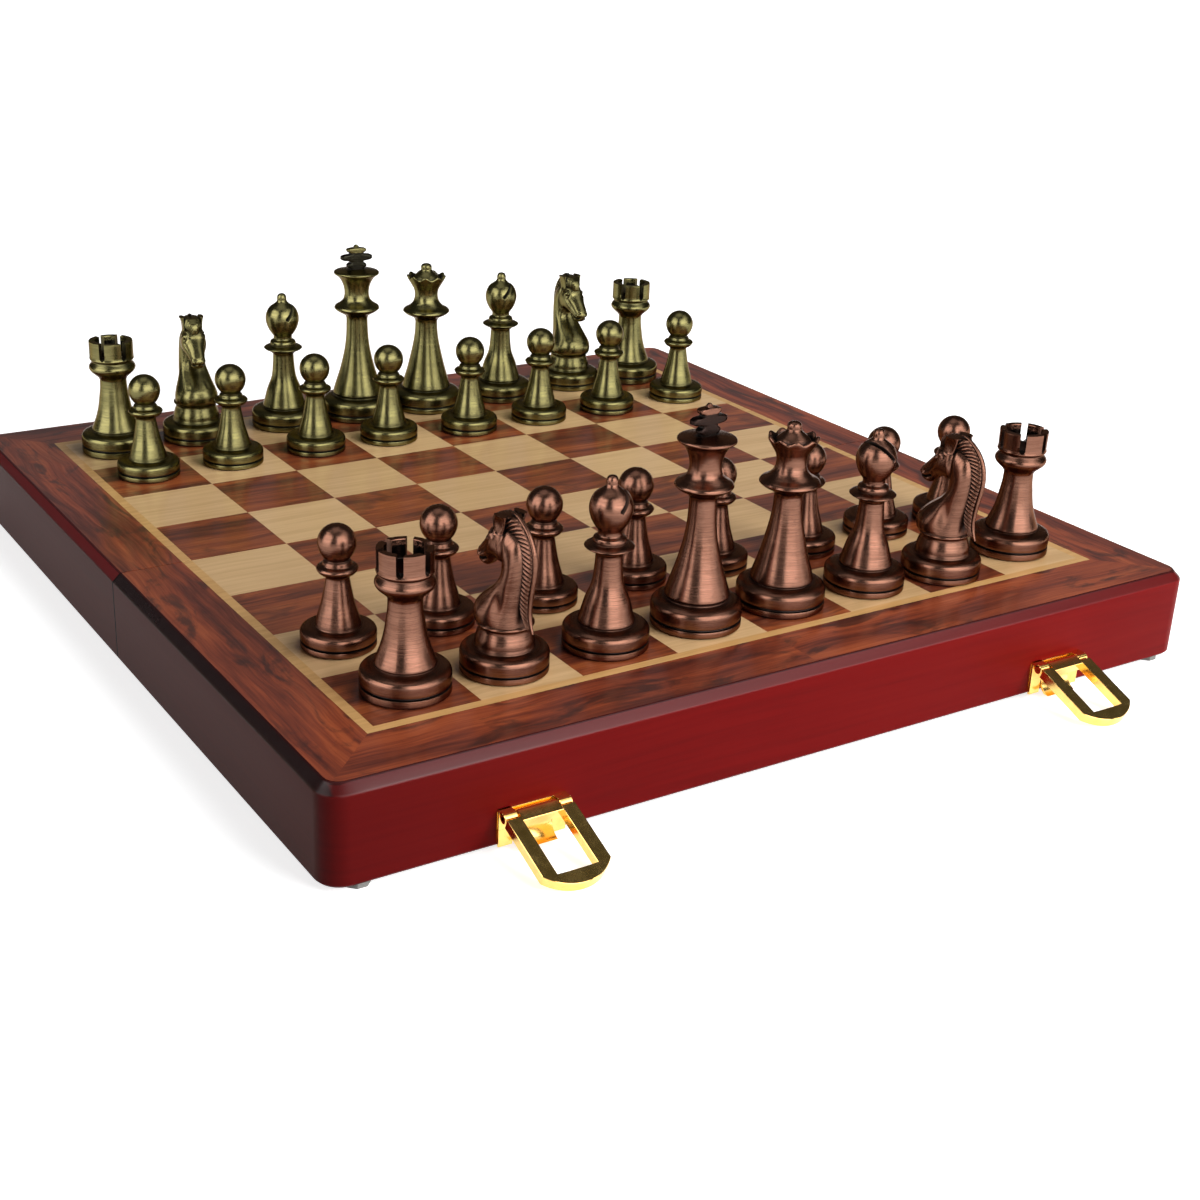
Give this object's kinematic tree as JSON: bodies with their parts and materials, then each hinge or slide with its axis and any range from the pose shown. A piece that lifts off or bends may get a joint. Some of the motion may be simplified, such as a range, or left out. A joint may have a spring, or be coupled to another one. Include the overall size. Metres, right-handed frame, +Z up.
{
  "type": "folding chess set",
  "caption": "Folding wooden chess board that shuts into a storage case for its pieces, with swing latches, foam slots inside and turned metal chessmen set out on top.",
  "frame": {"origin": "middle of the footprint of the open set, at the table's surface", "axes": "+X to the right along the latch edge, +Y towards the far side, +Z up"},
  "size_m": [0.3, 0.3318, 0.0949],
  "materials": {
    "red_lacquer": "glossy clear coat over crimson stain",
    "light_veneer": "semi-gloss lacquer over pale maple veneer",
    "dark_veneer": "semi-gloss lacquer over rosewood veneer",
    "stringing": "semi-gloss lacquer over honey-coloured inlay",
    "plywood": "raw plywood",
    "foam": "black flocked foam",
    "gold": "polished gold plating",
    "felt": "black felt",
    "copper": "antique copper plating, satin, dark in the grooves",
    "bronze": "antique green brass plating, satin, dark in the grooves"
  },
  "bodies": {
    "front_half": {"front_case_frame": "red_lacquer", "front_top_panel": "plywood", "front_light_squares": "light_veneer", "front_dark_squares": "dark_veneer", "front_stringing": "stringing", "front_border_veneer": "dark_veneer", "front_foam_insert": "foam", "front_hinge_leaves": "gold", "front_felt_bumpers": "felt", "front_screws": "gold", "hinge_pins": "gold", "left_latch_plate": "gold", "right_latch_plate": "gold", "latch_pins": "gold"},
    "back_half": {"back_case_frame": "red_lacquer", "back_top_panel": "plywood", "back_light_squares": "light_veneer", "back_dark_squares": "dark_veneer", "back_stringing": "stringing", "back_border_veneer": "dark_veneer", "back_foam_insert": "foam", "back_hinge_leaves": "gold", "back_felt_bumpers": "felt", "back_screws": "gold", "catch_plates": "gold"},
    "left_latch": {"left_latch_flap": "gold"},
    "right_latch": {"right_latch_flap": "gold"},
    "copper_rook_left": {"copper_rook_left": "copper"},
    "copper_knight_left": {"copper_knight_left": "copper"},
    "copper_bishop_left": {"copper_bishop_left": "copper"},
    "copper_king": {"copper_king": "copper"},
    "copper_queen": {"copper_queen": "copper"},
    "copper_bishop_right": {"copper_bishop_right": "copper"},
    "copper_knight_right": {"copper_knight_right": "copper"},
    "copper_rook_right": {"copper_rook_right": "copper"},
    "copper_pawn_1": {"copper_pawn_1": "copper"},
    "copper_pawn_2": {"copper_pawn_2": "copper"},
    "copper_pawn_3": {"copper_pawn_3": "copper"},
    "copper_pawn_4": {"copper_pawn_4": "copper"},
    "copper_pawn_5": {"copper_pawn_5": "copper"},
    "copper_pawn_6": {"copper_pawn_6": "copper"},
    "copper_pawn_7": {"copper_pawn_7": "copper"},
    "copper_pawn_8": {"copper_pawn_8": "copper"},
    "bronze_rook_left": {"bronze_rook_left": "bronze"},
    "bronze_knight_left": {"bronze_knight_left": "bronze"},
    "bronze_bishop_left": {"bronze_bishop_left": "bronze"},
    "bronze_king": {"bronze_king": "bronze"},
    "bronze_queen": {"bronze_queen": "bronze"},
    "bronze_bishop_right": {"bronze_bishop_right": "bronze"},
    "bronze_knight_right": {"bronze_knight_right": "bronze"},
    "bronze_rook_right": {"bronze_rook_right": "bronze"},
    "bronze_pawn_1": {"bronze_pawn_1": "bronze"},
    "bronze_pawn_2": {"bronze_pawn_2": "bronze"},
    "bronze_pawn_3": {"bronze_pawn_3": "bronze"},
    "bronze_pawn_4": {"bronze_pawn_4": "bronze"},
    "bronze_pawn_5": {"bronze_pawn_5": "bronze"},
    "bronze_pawn_6": {"bronze_pawn_6": "bronze"},
    "bronze_pawn_7": {"bronze_pawn_7": "bronze"},
    "bronze_pawn_8": {"bronze_pawn_8": "bronze"}
  },
  "joints": [
    {"name": "fold", "type": "hinge", "parent": "front_half", "child": "back_half", "pos_m": [0, 0.01086, 0.00125], "axis": [-1, 0, 0], "range_deg": [0, 179.53]},
    {"name": "left_latch_hinge", "type": "hinge", "parent": "front_half", "child": "left_latch", "pos_m": [-0.093, -0.14174, 0.0106], "axis": [1, 0, 0], "range_deg": [-111.33, 68.67]},
    {"name": "right_latch_hinge", "type": "hinge", "parent": "front_half", "child": "right_latch", "pos_m": [0.093, -0.14174, 0.0106], "axis": [1, 0, 0], "range_deg": [-111.33, 68.67]},
    {"name": "copper_rook_left_lift", "type": "slide", "parent": "front_half", "child": "copper_rook_left", "axis": [0, 0, 1], "range_m": [0, 0.1]},
    {"name": "copper_knight_left_lift", "type": "slide", "parent": "front_half", "child": "copper_knight_left", "axis": [0, 0, 1], "range_m": [0, 0.1]},
    {"name": "copper_bishop_left_lift", "type": "slide", "parent": "front_half", "child": "copper_bishop_left", "axis": [0, 0, 1], "range_m": [0, 0.1]},
    {"name": "copper_king_lift", "type": "slide", "parent": "front_half", "child": "copper_king", "axis": [0, 0, 1], "range_m": [0, 0.1]},
    {"name": "copper_queen_lift", "type": "slide", "parent": "front_half", "child": "copper_queen", "axis": [0, 0, 1], "range_m": [0, 0.1]},
    {"name": "copper_bishop_right_lift", "type": "slide", "parent": "front_half", "child": "copper_bishop_right", "axis": [0, 0, 1], "range_m": [0, 0.1]},
    {"name": "copper_knight_right_lift", "type": "slide", "parent": "front_half", "child": "copper_knight_right", "axis": [0, 0, 1], "range_m": [0, 0.1]},
    {"name": "copper_rook_right_lift", "type": "slide", "parent": "front_half", "child": "copper_rook_right", "axis": [0, 0, 1], "range_m": [0, 0.1]},
    {"name": "copper_pawn_1_lift", "type": "slide", "parent": "front_half", "child": "copper_pawn_1", "axis": [0, 0, 1], "range_m": [0, 0.1]},
    {"name": "copper_pawn_2_lift", "type": "slide", "parent": "front_half", "child": "copper_pawn_2", "axis": [0, 0, 1], "range_m": [0, 0.1]},
    {"name": "copper_pawn_3_lift", "type": "slide", "parent": "front_half", "child": "copper_pawn_3", "axis": [0, 0, 1], "range_m": [0, 0.1]},
    {"name": "copper_pawn_4_lift", "type": "slide", "parent": "front_half", "child": "copper_pawn_4", "axis": [0, 0, 1], "range_m": [0, 0.1]},
    {"name": "copper_pawn_5_lift", "type": "slide", "parent": "front_half", "child": "copper_pawn_5", "axis": [0, 0, 1], "range_m": [0, 0.1]},
    {"name": "copper_pawn_6_lift", "type": "slide", "parent": "front_half", "child": "copper_pawn_6", "axis": [0, 0, 1], "range_m": [0, 0.1]},
    {"name": "copper_pawn_7_lift", "type": "slide", "parent": "front_half", "child": "copper_pawn_7", "axis": [0, 0, 1], "range_m": [0, 0.1]},
    {"name": "copper_pawn_8_lift", "type": "slide", "parent": "front_half", "child": "copper_pawn_8", "axis": [0, 0, 1], "range_m": [0, 0.1]},
    {"name": "bronze_rook_left_lift", "type": "slide", "parent": "back_half", "child": "bronze_rook_left", "axis": [0, 0, 1], "range_m": [0, 0.1]},
    {"name": "bronze_knight_left_lift", "type": "slide", "parent": "back_half", "child": "bronze_knight_left", "axis": [0, 0, 1], "range_m": [0, 0.1]},
    {"name": "bronze_bishop_left_lift", "type": "slide", "parent": "back_half", "child": "bronze_bishop_left", "axis": [0, 0, 1], "range_m": [0, 0.1]},
    {"name": "bronze_king_lift", "type": "slide", "parent": "back_half", "child": "bronze_king", "axis": [0, 0, 1], "range_m": [0, 0.1]},
    {"name": "bronze_queen_lift", "type": "slide", "parent": "back_half", "child": "bronze_queen", "axis": [0, 0, 1], "range_m": [0, 0.1]},
    {"name": "bronze_bishop_right_lift", "type": "slide", "parent": "back_half", "child": "bronze_bishop_right", "axis": [0, 0, 1], "range_m": [0, 0.1]},
    {"name": "bronze_knight_right_lift", "type": "slide", "parent": "back_half", "child": "bronze_knight_right", "axis": [0, 0, 1], "range_m": [0, 0.1]},
    {"name": "bronze_rook_right_lift", "type": "slide", "parent": "back_half", "child": "bronze_rook_right", "axis": [0, 0, 1], "range_m": [0, 0.1]},
    {"name": "bronze_pawn_1_lift", "type": "slide", "parent": "back_half", "child": "bronze_pawn_1", "axis": [0, 0, 1], "range_m": [0, 0.1]},
    {"name": "bronze_pawn_2_lift", "type": "slide", "parent": "back_half", "child": "bronze_pawn_2", "axis": [0, 0, 1], "range_m": [0, 0.1]},
    {"name": "bronze_pawn_3_lift", "type": "slide", "parent": "back_half", "child": "bronze_pawn_3", "axis": [0, 0, 1], "range_m": [0, 0.1]},
    {"name": "bronze_pawn_4_lift", "type": "slide", "parent": "back_half", "child": "bronze_pawn_4", "axis": [0, 0, 1], "range_m": [0, 0.1]},
    {"name": "bronze_pawn_5_lift", "type": "slide", "parent": "back_half", "child": "bronze_pawn_5", "axis": [0, 0, 1], "range_m": [0, 0.1]},
    {"name": "bronze_pawn_6_lift", "type": "slide", "parent": "back_half", "child": "bronze_pawn_6", "axis": [0, 0, 1], "range_m": [0, 0.1]},
    {"name": "bronze_pawn_7_lift", "type": "slide", "parent": "back_half", "child": "bronze_pawn_7", "axis": [0, 0, 1], "range_m": [0, 0.1]},
    {"name": "bronze_pawn_8_lift", "type": "slide", "parent": "back_half", "child": "bronze_pawn_8", "axis": [0, 0, 1], "range_m": [0, 0.1]}
  ]
}
